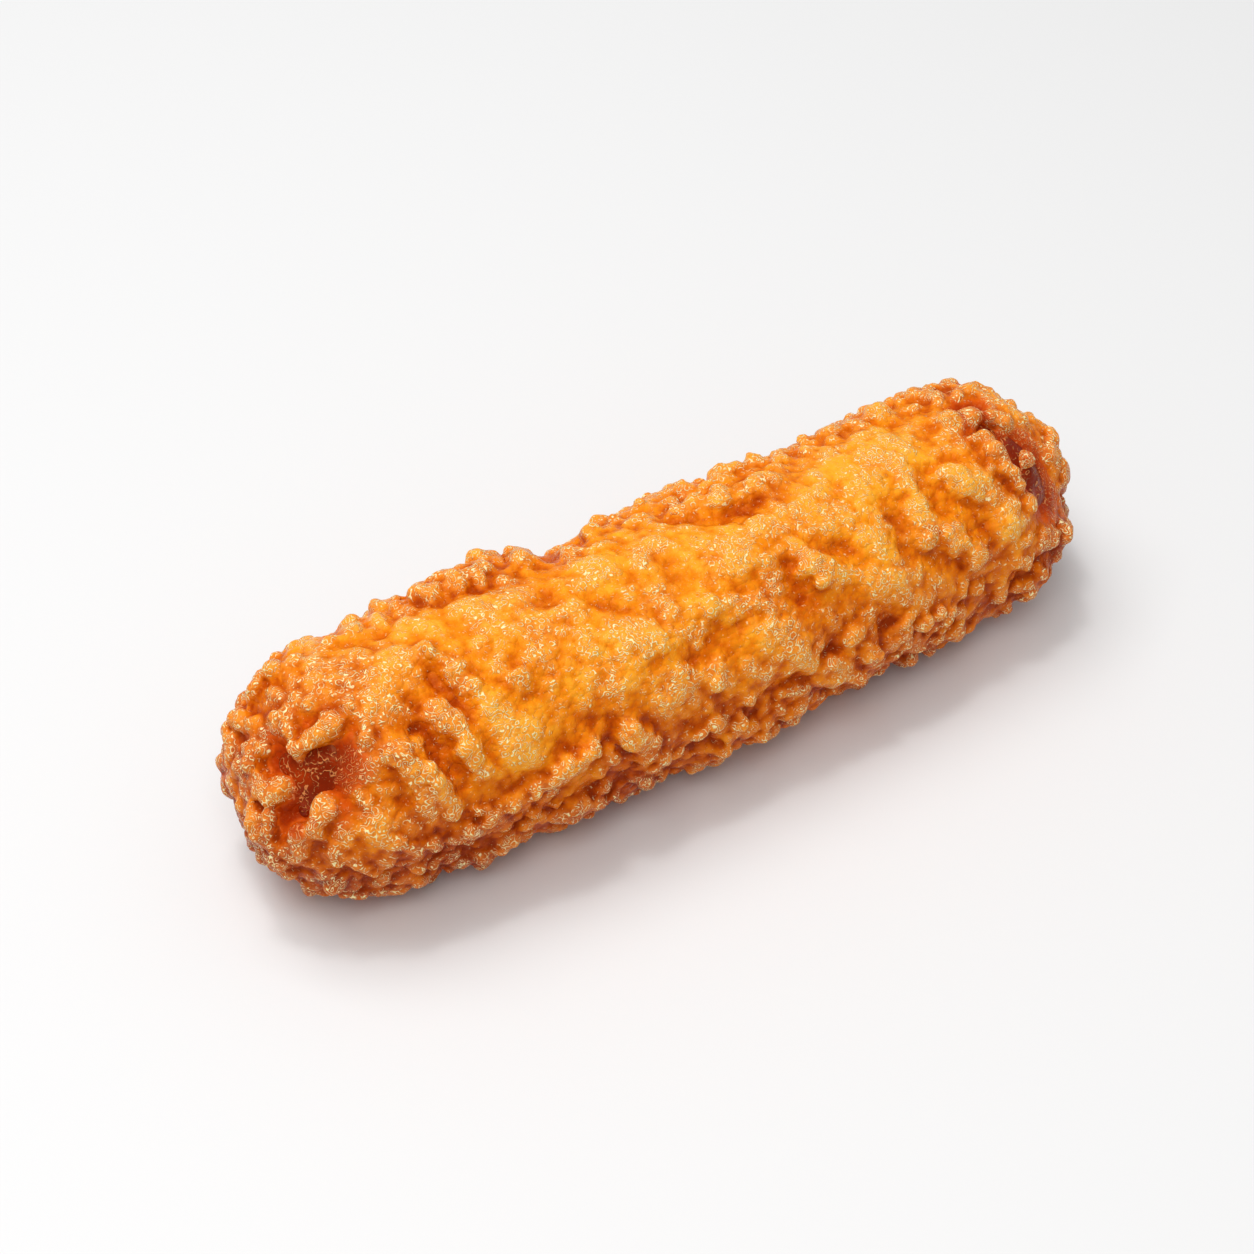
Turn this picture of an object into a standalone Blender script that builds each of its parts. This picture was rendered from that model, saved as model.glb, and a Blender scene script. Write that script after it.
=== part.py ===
"""Battered sausage: a sausage in a craggy coat of fried batter, lying on its side.

Two pieces. `sausage` is the meat in its casing and runs from end to end. `batter` is the fried coat round it, which
leaves the casing bare in a patch near each end. The roll lies along X, bowed a little in Y, and rests on z = 0.
A place on it is given by x along it and by an angle round it, in degrees from the top, positive towards -Y.
"""

import math

import bmesh
import bpy
import numpy as np
from mathutils import Vector

MM = 0.001

# Driving dimensions, in metres.
COAT_LENGTH = 144.2 * MM
COAT_RADIUS = 18.9 * MM
CASING_LENGTH = 138.0 * MM
CASING_RADIUS = 16.3 * MM
AXIS_HEIGHT = 18.6 * MM
TAPER = 0.018
BOW = 2.2 * MM
BOW_REACH = 52.0 * MM
CLEARANCE = 0.3 * MM
MESH_SLACK = 0.35 * MM

# Relief of the coat: soft swells, and knobbles packed together, low on the top face and high elsewhere.
SWELL_HEIGHT = 0.45 * MM
SWELL_CELL = 15.0 * MM
SMALL_SWELL_SHARE = 0.5
KNOBBLE_HEIGHT = 2.3 * MM
KNOBBLE_CELL = 6.0 * MM
KNOBBLE_BASE = 0.55
SMOOTH_FACE_ANGLE = 30.0
SMOOTH_FACE_SPREAD = (38.0, 62.0)
ROUGH_END = (48.0 * MM, 58.0 * MM)
END_ROUGHNESS = 0.45
ROUGH_TIP = (64.0 * MM, 70.0 * MM)
LEAST_ROUGHNESS = 0.35
DEEPEST_DIP = -1.2 * MM
END_SLIMNESS = 0.7 * MM
SLIM_END = (54.0 * MM, 68.0 * MM)
CASING_SWELL = 0.15 * MM
CASING_SWELL_CELL = 9.0 * MM

# Meshes: segments round the roll and rings along it, the even mesh that melts the crags into the coat, and the
# share of its triangles that is kept.
COAT_MESH = (84, 120)
HOLLOW_MESH = (20, 28)
CASING_MESH = (26, 30)
MELT_CELL = 0.75 * MM
KEPT_SHARE = 0.094

# Soft strokes on the coat: x and angle of both ends, width and rise, with x, width and rise in mm.
PILLOWS = (
    (-56, 26, -51, 16, 4.0, 0.9),
    (-50, 8, -41, 6, 3.0, 0.6),
    (-60, 42, -55, 46, 3.2, 0.8),
    (-52, 44, -50, 56, 2.2, 0.9),
    (-37, 44, -35, 58, 3.9, 1.4),
    (-38, -10, -28, -4, 4.0, 0.6),
    (-33, 8, -34, 20, 3.2, 0.6),
    (-26, 16, -21, 14, 2.8, 0.5),
    (-17, 34, -12, 36, 3.5, 0.9),
    (-12, 37, -9, 46, 2.8, 0.7),
    (-12, 68, -9, 60, 2.8, 0.8),
    (-12, -8, -6, -4, 3.5, 0.5),
    (-33, 74, -31, 88, 3.0, 0.9),
    (-30, 84, -25, 72, 2.4, 0.8),
    (-60, 76, -58, 86, 3.2, 0.6),
    (-66, 4, -60, 2, 3.5, 0.8),
    (-66, 66, -60, 70, 3.0, 0.7),
    (60, -14, 63, 8, 3.0, 0.8),
    (6, 18, 9, 26, 3.2, 0.9),
    (12, 10, 17, 12, 3.0, 0.6),
    (7, 56, 9, 68, 3.2, 1.1),
    (10, 70, 12, 78, 2.6, 0.8),
    (23, 10, 24, 24, 3.0, 0.7),
    (17, 28, 19, 44, 2.0, 0.6),
    (22, 48, 26, 58, 2.6, 0.7),
    (28, 38, 30, 58, 2.8, 0.9),
    (29, 64, 31, 78, 2.4, 0.6),
    (24, 88, 28, 94, 3.0, 0.9),
    (38, -14, 40, 6, 3.4, 0.9),
    (38, 22, 38, 40, 2.0, 0.7),
    (46, 28, 50, 36, 2.0, 0.6),
    (50, 36, 52, 62, 2.4, 1.1),
    (52, 62, 53, 80, 2.6, 0.9),
    (56, 20, 57, 38, 1.8, 0.7),
    (-69, 52, -66, 92, 5.0, 1.3),
    (-40, -38, -28, -38, 5.0, 1.3),
    (18, 100, 24, 104, 3.0, 1.0),
    (-36, -70, -30, -120, 7.0, 1.0),
    (4, -60, 10, -110, 7.0, 0.9),
    (38, -80, 44, -130, 6.5, 1.0),
    (-71, 88, -67, 116, 4.0, 1.5),
    (-27, -46, -21, -46, 3.0, 1.0),
    (-12, -48, -9, -48, 2.5, 1.2),
    (0, -46, 10, -46, 3.5, 1.4),
    (-54, 128, -46, 128, 4.0, 0.8),
)
FOLDS = (
    (-64, 50, -62, 62, 2.2, -0.8),
    (-55, 52, -54, 60, 1.8, -0.8),
    (-49, 38, -47, 50, 1.7, -1.4),
    (-47, 50, -45, 68, 1.8, -1.5),
    (-43, 18, -42, 28, 2.2, -1.1),
    (-42, 28, -41, 44, 1.5, -1.1),
    (-54, -10, -52, 4, 1.8, -0.6),
    (-65, 68, -67, 94, 1.6, -0.8),
    (-27, 4, -22, -1, 1.8, -0.7),
    (-22, -1, -14, 18, 1.8, -0.6),
    (-46, -26, -45, -18, 1.6, -0.7),
    (-24, 62, -20, 68, 1.8, -1.1),
    (-23, 76, -21, 90, 1.8, -0.9),
    (-3, 4, -4, 18, 2.0, -0.8),
    (-7, 51, -4, 57, 1.8, -0.8),
    (-2, 48, 2, 47, 2.2, -1.1),
    (-41, 80, -37, 76, 2.2, -0.7),
    (-45, 100, -42, 98, 2.4, -1.2),
    (-29, 101, -23, 102, 2.8, -1.3),
    (-12, 102, -6, 100, 2.6, -1.1),
    (4, -16, 10, -5, 2.0, -1.0),
    (10, -5, 15, -3, 1.8, -1.0),
    (14, 32, 13, 50, 1.9, -1.0),
    (14, 50, 19, 60, 1.7, -0.7),
    (16, 80, 20, 72, 1.8, -0.6),
    (21, 34, 24, 39, 1.7, -0.7),
    (33, 30, 33, 50, 1.6, -0.8),
    (43, 22, 42, 36, 1.8, -0.6),
    (42, 38, 46, 42, 1.8, -1.0),
    (47, 44, 47, 58, 1.4, -0.7),
    (37, 58, 42, 68, 2.0, -1.2),
    (43, 84, 40, 96, 1.8, -0.8),
    (43, -26, 43, -12, 1.6, -0.7),
    (47, 2, 50, -4, 1.7, -0.9),
    (53, 22, 54, 38, 1.3, -0.8),
    (4, 98, 10, 86, 1.8, -0.7),
    (27, 104, 32, 97, 2.6, -1.4),
    (-64, 110, -44, 110, 6.0, -1.2),
    (30, -48, 56, -46, 5.0, -1.0),
    (-12, -50, -16, -120, 4.0, -1.0),
    (24, -50, 28, -130, 4.0, -1.1),
    (-64, -46, -56, -44, 4.0, -1.0),
    (-47, -48, -45, -48, 3.0, -1.8),
    (-35, -50, -33, -50, 2.5, -1.2),
    (-19, -48, -17, -48, 2.5, -1.2),
    (14, -48, 22, -48, 3.0, -1.4),
    (57, -38, 59, -38, 3.5, -2.0),
    (29, 128, 31, 128, 2.5, -1.5),
)

# Crags that stand out singly or in chains: x and angle of both ends, number and radius, with x and radius in mm.
CRAG_CHAINS = (
    (-53, 44, -51, 70, 7, 1.7),
    (-50, 56, -48, 75, 5, 1.8),
    (-45, 34, -44, 40, 2, 2.3),
    (-42, 8, -39, 27, 4, 1.9),
    (-43, 46, -42, 66, 4, 2.1),
    (-32, 34, -32, 34, 1, 2.2),
    (-65, 20, -59, 21, 4, 1.8),
    (-65, 58, -66, 68, 2, 1.9),
    (-69, 36, -69, 36, 1, 1.9),
    (-68, 74, -68, 84, 2, 1.8),
    (-37, 84, -26, 75, 5, 2.5),
    (-19, 70, -16, 88, 5, 2.2),
    (-1, 36, 6, 42, 3, 2.0),
    (-3, 66, -2, 74, 2, 2.2),
    (17, 37, 18, 42, 2, 2.4),
    (5, -22, 20, -10, 6, 2.2),
    (37, 50, 37, 50, 1, 2.0),
    (41, 53, 42, 58, 2, 2.4),
    (44, 64, 45, 68, 2, 2.2),
    (45, 26, 48, 40, 4, 2.0),
    (51, 2, 55, 3, 2, 2.1),
    (54, 18, 55, 38, 5, 1.9),
    (61, 36, 62, 38, 1, 1.7),
    (59, 8, 59, 10, 1, 1.6),
    (53, -22, 60, -34, 4, 2.1),
    (44, -26, 36, -28, 3, 2.5),
    (-2, -30, -8, -32, 2, 2.3),
    (-20, -31, -36, -31, 5, 2.9),
    (-44, -26, -52, -24, 3, 1.9),
    (-62, 90, -44, 93, 6, 1.9),
    (30, 84, 38, 92, 3, 2.2),
)

# More crags strewn in short chains over the rest of the coat, clear of the smooth face and the bare patches.
STREWN_CHAINS = 105
STREWN_RUN = 4
STREWN_RADIUS = (1.3 * MM, 2.5 * MM)
CRAG_STEP = 1.5
SEED = 7

# How deep a crag is seated, in shares of its radius: those in the chains, then the strewn ones from smooth to rough.
CHAIN_SINK = 0.2
CHAIN_UNEVENNESS = (0.85, 1.1)
STREWN_SINK = (0.95, 0.25)
CRAG_WOBBLE = 0.45
CRAG_WOBBLE_CELL = 0.8
CRAG_NOISE_STEP = 10.0
LEAST_CRAG_THINNESS = 0.3

# Bare patches: x and angle of a hole's middle and its radius, with x and radius in mm.
BARE_PATCHES = (
    (-63.5, 34, 3.9),
    (-66.5, 46, 3.5),
    (-67.5, 23, 2.6),
    (-68.0, 60, 2.4),
    (55.5, 1, 2.3),
    (57.0, 12, 2.4),
    (59.0, 24, 2.4),
    (60.5, 35, 2.8),
    (61.5, 46, 3.4),
    (62.4, 60, 2.6),
)
PATCH_DIP = 1.3 * MM
PATCH_SPREAD = 1.6
PATCH_HEIGHT = 2.0 * MM
PATCH_DEPTH = 5.0 * MM

TABLE_SIZE = (170.0 * MM, 60.0 * MM, 10.0 * MM)

BATTER_COLOUR = (0.80, 0.27, 0.03, 1.0)
BATTER_ROUGHNESS = 0.4
CASING_COLOUR = (0.45, 0.07, 0.01, 1.0)
CASING_ROUGHNESS = 0.3


def clear_scene():
    for obj in list(bpy.data.objects):
        bpy.data.objects.remove(obj)


def hashed(cells, seed):
    """A number from 0 to 1 for each whole-number cell, always the same for one cell and seed."""
    i, j, k = (cells[..., n].astype(np.int64) for n in range(3))
    h = (i * 374761393 + j * 668265263 + k * 2147483647 + seed * 1274126177) & 0xFFFFFFFF
    h = ((h ^ (h >> 13)) * 1103515245) & 0xFFFFFFFF
    h = ((h ^ (h >> 16)) * 668265263) & 0xFFFFFFFF
    return ((h ^ (h >> 15)) & 0xFFFF) / 65535.0


def soft_noise(points, cell, seed):
    """Smooth noise from -1 to 1: hashed values at the corners of a cubic lattice, eased between them."""
    place = points / cell
    corner = np.floor(place)
    t = place - corner
    t = t * t * (3 - 2 * t)
    total = np.zeros(len(points))
    for step in np.ndindex(2, 2, 2):
        weight = np.prod(np.where(step, t, 1 - t), axis=1)
        total += weight * hashed(corner + step, seed)
    return 2 * total - 1


def knobbles(points, cell, seed):
    """Round lumps packed together, 0 to 1: at each point the highest of the domes seated in the cells round it."""
    place = points / cell
    corner = np.floor(place)
    best = np.zeros(len(points))
    for step in np.ndindex(3, 3, 3):
        near = corner + step - 1
        seat = near + np.stack([hashed(near, seed + n) for n in range(3)], axis=1)
        height = 0.5 + 0.5 * hashed(near, seed + 3)
        far = np.sum((place - seat) ** 2, axis=1)
        best = np.maximum(best, height - far)
    return best


def ease(value, low, high):
    t = np.clip((value - low) / (high - low), 0, 1)
    return t * t * (3 - 2 * t)


def roll_skin(share, angle, length, radius):
    """Points and outward normals on a round-ended roll. share is -1 at the -X tip and 1 at the +X tip, by length of
    arc; angle is round X in radians from the top, towards -Y."""
    half = length / 2 - radius
    arc = share * (half + radius * math.pi / 2)
    turn = np.clip(np.abs(arc) - half, 0, None) / radius
    x = np.sign(arc) * (np.minimum(np.abs(arc), half) + radius * np.sin(turn))
    along = np.clip(x / BOW_REACH, -1, 1)
    out = radius * np.cos(turn) * (1 - TAPER * along)
    points = np.stack(
        [x, BOW * (along**2 - 0.5) - out * np.sin(angle), AXIS_HEIGHT + out * np.cos(angle)], axis=-1
    )
    across = np.cos(turn)
    normals = np.stack([np.sign(arc) * np.sin(turn), -np.sin(angle) * across, np.cos(angle) * across], axis=-1)
    return points, normals


def share_at(x, length, radius):
    """The share of the arc, -1 to 1, at which a roll's skin stands at x."""
    half = length / 2 - radius
    over = np.clip((np.abs(x) - half) / radius, 0, 1)
    return np.sign(x) * (np.minimum(np.abs(x), half) + radius * np.arcsin(over)) / (half + radius * math.pi / 2)


def skin_at(x, degrees, length=COAT_LENGTH, radius=COAT_RADIUS):
    """Point and normal of a roll at x, in metres, and an angle in degrees."""
    return roll_skin(share_at(x, length, radius), np.radians(degrees), length, radius)


def strokes(points, table):
    """Sum of soft ridges or folds: each is a bell curve of the distance to a straight stroke between two places."""
    total = np.zeros(len(points))
    for x0, a0, x1, a1, width, rise in table:
        start, end = skin_at(x0 * MM, a0)[0], skin_at(x1 * MM, a1)[0]
        along = np.clip((points - start) @ (end - start) / np.dot(end - start, end - start), 0, 1)
        gap = np.linalg.norm(points - start - along[:, None] * (end - start), axis=1)
        total += rise * MM * np.exp(-((gap / (width * MM)) ** 2))
    return total


def roughness(x, angle):
    """How craggy the coat is, 0 to 1: least on the face between the top and the front, most at the ends."""
    off_face = np.abs((np.degrees(angle) - SMOOTH_FACE_ANGLE + 180) % 360 - 180)
    sides = ease(off_face, *SMOOTH_FACE_SPREAD)
    ends = np.maximum(END_ROUGHNESS * ease(np.abs(x), *ROUGH_END), ease(np.abs(x), *ROUGH_TIP))
    return LEAST_ROUGHNESS + (1 - LEAST_ROUGHNESS) * np.maximum(sides, ends)


def thinness(points):
    """1 at the middle of a bare patch, falling softly to 0 round it."""
    most = np.zeros(len(points))
    for x, degrees, radius in BARE_PATCHES:
        gap = np.linalg.norm(points - skin_at(x * MM, degrees)[0], axis=1)
        most = np.maximum(most, np.exp(-((gap / (PATCH_SPREAD * radius * MM)) ** 2)))
    return most


def coat_rise(points, angle):
    """Height of the coat over the plain roll, in metres."""
    thin = thinness(points)
    swell = soft_noise(points, SWELL_CELL, SEED)
    swell += SMALL_SWELL_SHARE * soft_noise(points, SMALL_SWELL_SHARE * SWELL_CELL, SEED + 1)
    knobbly = (knobbles(points, KNOBBLE_CELL, SEED + 2) - KNOBBLE_BASE) * roughness(points[:, 0], angle)
    placed = strokes(points, PILLOWS) + strokes(points, FOLDS)
    rise = np.maximum(SWELL_HEIGHT * swell + KNOBBLE_HEIGHT * knobbly + placed, DEEPEST_DIP)
    slim = END_SLIMNESS * ease(np.abs(points[:, 0]), *SLIM_END)
    return (1 - thin) * (rise - slim) - PATCH_DIP * thin


def casing_rise(points, angle):
    """Height of the casing over the plain roll: shallow, uneven swells, in metres."""
    return CASING_SWELL * soft_noise(points, CASING_SWELL_CELL, SEED + 5) + 0.0 * angle


def rolled_object(name, mesh_size, length, radius, rise):
    """A UV sphere drawn out to a round-ended roll, each vertex raised along its normal by rise(points, angle)."""
    mesh = bpy.data.meshes.new(name)
    bm = bmesh.new()
    bmesh.ops.create_uvsphere(bm, u_segments=mesh_size[0], v_segments=mesh_size[1], radius=1.0)
    ball = np.array([v.co for v in bm.verts])
    share = 2 * np.arccos(np.clip(-ball[:, 2], -1, 1)) / math.pi - 1
    angle = np.arctan2(ball[:, 1], ball[:, 0]) - math.pi / 2
    points, normals = roll_skin(share, angle, length, radius)
    points = points + rise(points, angle)[:, None] * normals
    for vertex, place in zip(bm.verts, points):
        vertex.co = place
    bm.normal_update()
    bm.to_mesh(mesh)
    bm.free()
    return bpy.data.objects.new(name, mesh)


def crag_seats():
    """Share, angle in radians, radius and sink of every crag: the chains, then those strewn where it is rough."""
    rng = np.random.default_rng(SEED)
    seats = []
    for x0, a0, x1, a1, number, radius in CRAG_CHAINS:
        for t in np.linspace(0, 1, number):
            share = share_at((x0 + t * (x1 - x0)) * MM, COAT_LENGTH, COAT_RADIUS)
            angle = math.radians(a0 + t * (a1 - a0))
            seats.append((share, angle, radius * MM * rng.uniform(*CHAIN_UNEVENNESS), CHAIN_SINK))
    rng = np.random.default_rng(SEED + 1)
    half_arc = COAT_LENGTH / 2 + COAT_RADIUS * (math.pi / 2 - 1)
    chains = 0
    while chains < STREWN_CHAINS:
        share, angle, heading = rng.uniform(-1, 1), rng.uniform(-math.pi, math.pi), rng.uniform(0, 2 * math.pi)
        x = roll_skin(share, angle, COAT_LENGTH, COAT_RADIUS)[0][0]
        if rng.uniform(LEAST_ROUGHNESS, 1) > roughness(x, angle):
            continue
        chains += 1
        for radius in rng.uniform(*STREWN_RADIUS, size=rng.integers(1, STREWN_RUN + 1)):
            share = np.clip(share + CRAG_STEP * radius * math.cos(heading) / half_arc, -1, 1)
            angle += CRAG_STEP * radius * math.sin(heading) / COAT_RADIUS
            place = roll_skin(share, angle, COAT_LENGTH, COAT_RADIUS)[0].reshape(1, 3)
            if thinness(place)[0] < LEAST_CRAG_THINNESS:
                sink = np.interp(roughness(place[0, 0], angle), (LEAST_ROUGHNESS, 1), STREWN_SINK)
                seats.append((share, angle, radius, sink))
    return seats


def crag(number, share, angle, radius, sink):
    """One uneven round lump seated in the coat."""
    point, normal = (v.reshape(1, 3) for v in roll_skin(share, angle, COAT_LENGTH, COAT_RADIUS))
    centre = (point + (coat_rise(point, np.array([angle])) - sink * radius) * normal)[0]
    mesh = bpy.data.meshes.new(f"crag_{number:03d}")
    bm = bmesh.new()
    bmesh.ops.create_icosphere(bm, subdivisions=3, radius=1.0)
    ball = np.array([v.co for v in bm.verts])
    wobble = soft_noise(ball + CRAG_NOISE_STEP * number, CRAG_WOBBLE_CELL, SEED + 4)
    places = centre + ball * (radius * (1 + CRAG_WOBBLE * wobble))[:, None]
    for vertex, place in zip(bm.verts, places):
        vertex.co = place
    bm.to_mesh(mesh)
    bm.free()
    return bpy.data.objects.new(mesh.name, mesh)


def patch_cutter(number, x, degrees, radius):
    """A ball, long across the coat, that opens it down to the casing."""
    point, normal = skin_at(x * MM, degrees, CASING_LENGTH, CASING_RADIUS)
    mesh = bpy.data.meshes.new(f"bare_patch_{number}")
    bm = bmesh.new()
    bmesh.ops.create_icosphere(bm, subdivisions=2, radius=1.0)
    bmesh.ops.scale(bm, vec=(radius * MM, radius * MM, PATCH_DEPTH), verts=bm.verts)
    bm.to_mesh(mesh)
    bm.free()
    obj = bpy.data.objects.new(mesh.name, mesh)
    obj.location = point + PATCH_HEIGHT * normal
    obj.rotation_euler = Vector(normal).to_track_quat("Z", "Y").to_euler()
    return obj


def table_cutter():
    """A block whose top face is the table, z = 0."""
    mesh = bpy.data.meshes.new("table_top")
    bm = bmesh.new()
    bmesh.ops.create_cube(bm, size=1.0)
    bmesh.ops.scale(bm, vec=TABLE_SIZE, verts=bm.verts)
    bmesh.ops.translate(bm, vec=(0, 0, -TABLE_SIZE[2] / 2), verts=bm.verts)
    bm.to_mesh(mesh)
    bm.free()
    return bpy.data.objects.new("table_top", mesh)


def collection_of(name, objects):
    collection = bpy.data.collections.new(name)
    bpy.context.scene.collection.children.link(collection)
    for obj in objects:
        collection.objects.link(obj)
    return collection


def boolean(obj, operation, collection, solver="EXACT"):
    modifier = obj.modifiers.new(collection.name, "BOOLEAN")
    modifier.operation = operation
    modifier.operand_type = "COLLECTION"
    modifier.collection = collection
    modifier.solver = solver
    return modifier


def apply_modifiers(obj):
    bpy.context.view_layer.update()
    result = bpy.data.meshes.new_from_object(obj.evaluated_get(bpy.context.evaluated_depsgraph_get()))
    obj.modifiers.clear()
    obj.data = result


def keep_largest_body(obj):
    """Drops the crumbs that the cutting leaves loose."""
    bm = bmesh.new()
    bm.from_mesh(obj.data)
    left = set(bm.verts)
    largest = set()
    while left:
        body = set()
        edge = {next(iter(left))}
        while edge:
            body |= edge
            edge = {e.other_vert(v) for v in edge for e in v.link_edges} - body
        left -= body
        largest = max(largest, body, key=len)
    bmesh.ops.delete(bm, geom=[v for v in bm.verts if v not in largest], context="VERTS")
    bm.to_mesh(obj.data)
    bm.free()


def material(name, colour, roughness_value):
    made = bpy.data.materials.new(name)
    made.use_nodes = True
    shader = made.node_tree.nodes["Principled BSDF"]
    shader.inputs["Base Color"].default_value = colour
    shader.inputs["Roughness"].default_value = roughness_value
    shader.inputs["Metallic"].default_value = 0.0
    return made


def remove_collection(collection):
    for obj in list(collection.objects):
        bpy.data.objects.remove(obj)
    bpy.data.collections.remove(collection)


def batter():
    """The coat: its core joined with the crags, hollowed for the sausage, opened at the patches and flat below."""
    coat = rolled_object("batter", COAT_MESH, COAT_LENGTH, COAT_RADIUS, coat_rise)
    collection_of("battered_sausage", [coat])
    crags = collection_of("crags", [crag(n, *seat) for n, seat in enumerate(crag_seats())])
    boolean(coat, "UNION", crags, "MANIFOLD")
    melt = coat.modifiers.new("melt", "REMESH")
    melt.mode = "VOXEL"
    melt.voxel_size = MELT_CELL
    fewer = coat.modifiers.new("fewer", "DECIMATE")
    fewer.ratio = KEPT_SHARE
    apply_modifiers(coat)
    remove_collection(crags)

    hollow = rolled_object(
        "casing_hollow",
        HOLLOW_MESH,
        CASING_LENGTH + 2 * CLEARANCE,
        CASING_RADIUS + CLEARANCE,
        lambda points, angle: MESH_SLACK + 0.0 * angle,
    )
    openings = [hollow, table_cutter()]
    openings += [patch_cutter(n, *patch) for n, patch in enumerate(BARE_PATCHES)]
    cutters = collection_of("cutters", openings)
    boolean(coat, "DIFFERENCE", cutters)
    apply_modifiers(coat)
    remove_collection(cutters)
    keep_largest_body(coat)
    coat.data.materials.clear()
    coat.data.materials.append(material("fried_batter", BATTER_COLOUR, BATTER_ROUGHNESS))
    return coat


def sausage():
    """The meat in its casing."""
    meat = rolled_object("sausage", CASING_MESH, CASING_LENGTH, CASING_RADIUS, casing_rise)
    meat.data.materials.append(material("casing", CASING_COLOUR, CASING_ROUGHNESS))
    meat.data.shade_smooth()
    bpy.data.collections["battered_sausage"].objects.link(meat)
    return meat


def main():
    clear_scene()
    batter()
    sausage()


main()
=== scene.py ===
"""Battered sausage: the fine surface of the batter and of the casing, and a plain studio for them.

The roll lies along X on z = 0. A place on it is given by x along it and by an angle round it, in degrees from
the top, positive towards -Y. Lengths are in metres unless a name or comment says mm.
"""

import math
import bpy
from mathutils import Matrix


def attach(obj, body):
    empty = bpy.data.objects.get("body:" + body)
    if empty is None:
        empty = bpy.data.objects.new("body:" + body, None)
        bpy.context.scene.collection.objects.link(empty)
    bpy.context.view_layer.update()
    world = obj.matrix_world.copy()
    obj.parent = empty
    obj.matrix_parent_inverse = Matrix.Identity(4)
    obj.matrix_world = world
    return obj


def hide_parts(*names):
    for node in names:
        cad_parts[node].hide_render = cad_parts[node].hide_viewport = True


bl_info = {
    "name": "Battered Sausage",
    "version": (1, 0, 0),
    "blender": (4, 5, 0),
    "location": "View3D > Sidebar > Sausage",
    "description": "Dresses the solids of a battered sausage with craggy fried batter and a glossy casing",
    "category": "Add Mesh",
}

import bmesh
import bpy
import numpy as np
from mathutils import Vector

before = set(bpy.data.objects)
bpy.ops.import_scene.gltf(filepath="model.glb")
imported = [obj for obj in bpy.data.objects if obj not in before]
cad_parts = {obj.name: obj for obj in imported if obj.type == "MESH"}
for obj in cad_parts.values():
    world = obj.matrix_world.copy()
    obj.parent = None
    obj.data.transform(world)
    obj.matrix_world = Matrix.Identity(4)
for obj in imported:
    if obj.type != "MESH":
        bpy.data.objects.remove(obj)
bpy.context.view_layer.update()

MM = 0.001

# The seeds of the noises and of the random draws are counted from this one.
SEED = 7

# Large factors that stir a cell's place and seed into a number, and the bits of it that are kept.
CELL_FACTORS = (374761393, 668265263, 2147483647)
SEED_FACTOR = 1274126177
STIR_FACTORS = (1103515245, 668265263)
ALL_BITS = 0xFFFFFFFF
LOW_BITS = 0xFFFF

# The form that the solids have too.
TAPER = 0.018
BOW = 2.2 * MM
BOW_REACH = 52.0 * MM
SWELL_HEIGHT = 0.45 * MM
SWELL_CELL = 15.0 * MM
KNOBBLE_HEIGHT = 2.3 * MM
KNOBBLE_CELL = 6.0 * MM
SMOOTH_FACE_ANGLE = 30.0
SMOOTH_FACE_SPREAD = (38.0, 62.0)
ROUGH_END = (48.0 * MM, 58.0 * MM)
END_ROUGHNESS = 0.45
ROUGH_TIP = (64.0 * MM, 70.0 * MM)
LEAST_ROUGHNESS = 0.35
DEEPEST_DIP = -1.2 * MM
KNOBBLE_BASE = 0.55
END_SLIMNESS = 0.7 * MM
SLIM_END = (54.0 * MM, 68.0 * MM)

# Soft strokes on the coat: x and angle of both ends, width and rise, with x, width and rise in mm.
PILLOWS = (
    (-56, 26, -51, 16, 4.0, 0.9),
    (-50, 8, -41, 6, 3.0, 0.6),
    (-60, 42, -55, 46, 3.2, 0.8),
    (-52, 44, -50, 56, 2.2, 0.9),
    (-37, 44, -35, 58, 3.9, 1.4),
    (-38, -10, -28, -4, 4.0, 0.6),
    (-33, 8, -34, 20, 3.2, 0.6),
    (-26, 16, -21, 14, 2.8, 0.5),
    (-17, 34, -12, 36, 3.5, 0.9),
    (-12, 37, -9, 46, 2.8, 0.7),
    (-12, 68, -9, 60, 2.8, 0.8),
    (-12, -8, -6, -4, 3.5, 0.5),
    (-33, 74, -31, 88, 3.0, 0.9),
    (-30, 84, -25, 72, 2.4, 0.8),
    (-60, 76, -58, 86, 3.2, 0.6),
    (-66, 4, -60, 2, 3.5, 0.8),
    (-66, 66, -60, 70, 3.0, 0.7),
    (60, -14, 63, 8, 3.0, 0.8),
    (6, 18, 9, 26, 3.2, 0.9),
    (12, 10, 17, 12, 3.0, 0.6),
    (7, 56, 9, 68, 3.2, 1.1),
    (10, 70, 12, 78, 2.6, 0.8),
    (23, 10, 24, 24, 3.0, 0.7),
    (17, 28, 19, 44, 2.0, 0.6),
    (22, 48, 26, 58, 2.6, 0.7),
    (28, 38, 30, 58, 2.8, 0.9),
    (29, 64, 31, 78, 2.4, 0.6),
    (24, 88, 28, 94, 3.0, 0.9),
    (38, -14, 40, 6, 3.4, 0.9),
    (38, 22, 38, 40, 2.0, 0.7),
    (46, 28, 50, 36, 2.0, 0.6),
    (50, 36, 52, 62, 2.4, 1.1),
    (52, 62, 53, 80, 2.6, 0.9),
    (56, 20, 57, 38, 1.8, 0.7),
    (-69, 52, -66, 92, 5.0, 1.3),
    (-40, -38, -28, -38, 5.0, 1.3),
    (18, 100, 24, 104, 3.0, 1.0),
    (-36, -70, -30, -120, 7.0, 1.0),
    (4, -60, 10, -110, 7.0, 0.9),
    (38, -80, 44, -130, 6.5, 1.0),
    (-71, 88, -67, 116, 4.0, 1.5),
    (-27, -46, -21, -46, 3.0, 1.0),
    (-12, -48, -9, -48, 2.5, 1.2),
    (0, -46, 10, -46, 3.5, 1.4),
    (-54, 128, -46, 128, 4.0, 0.8),
)
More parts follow.
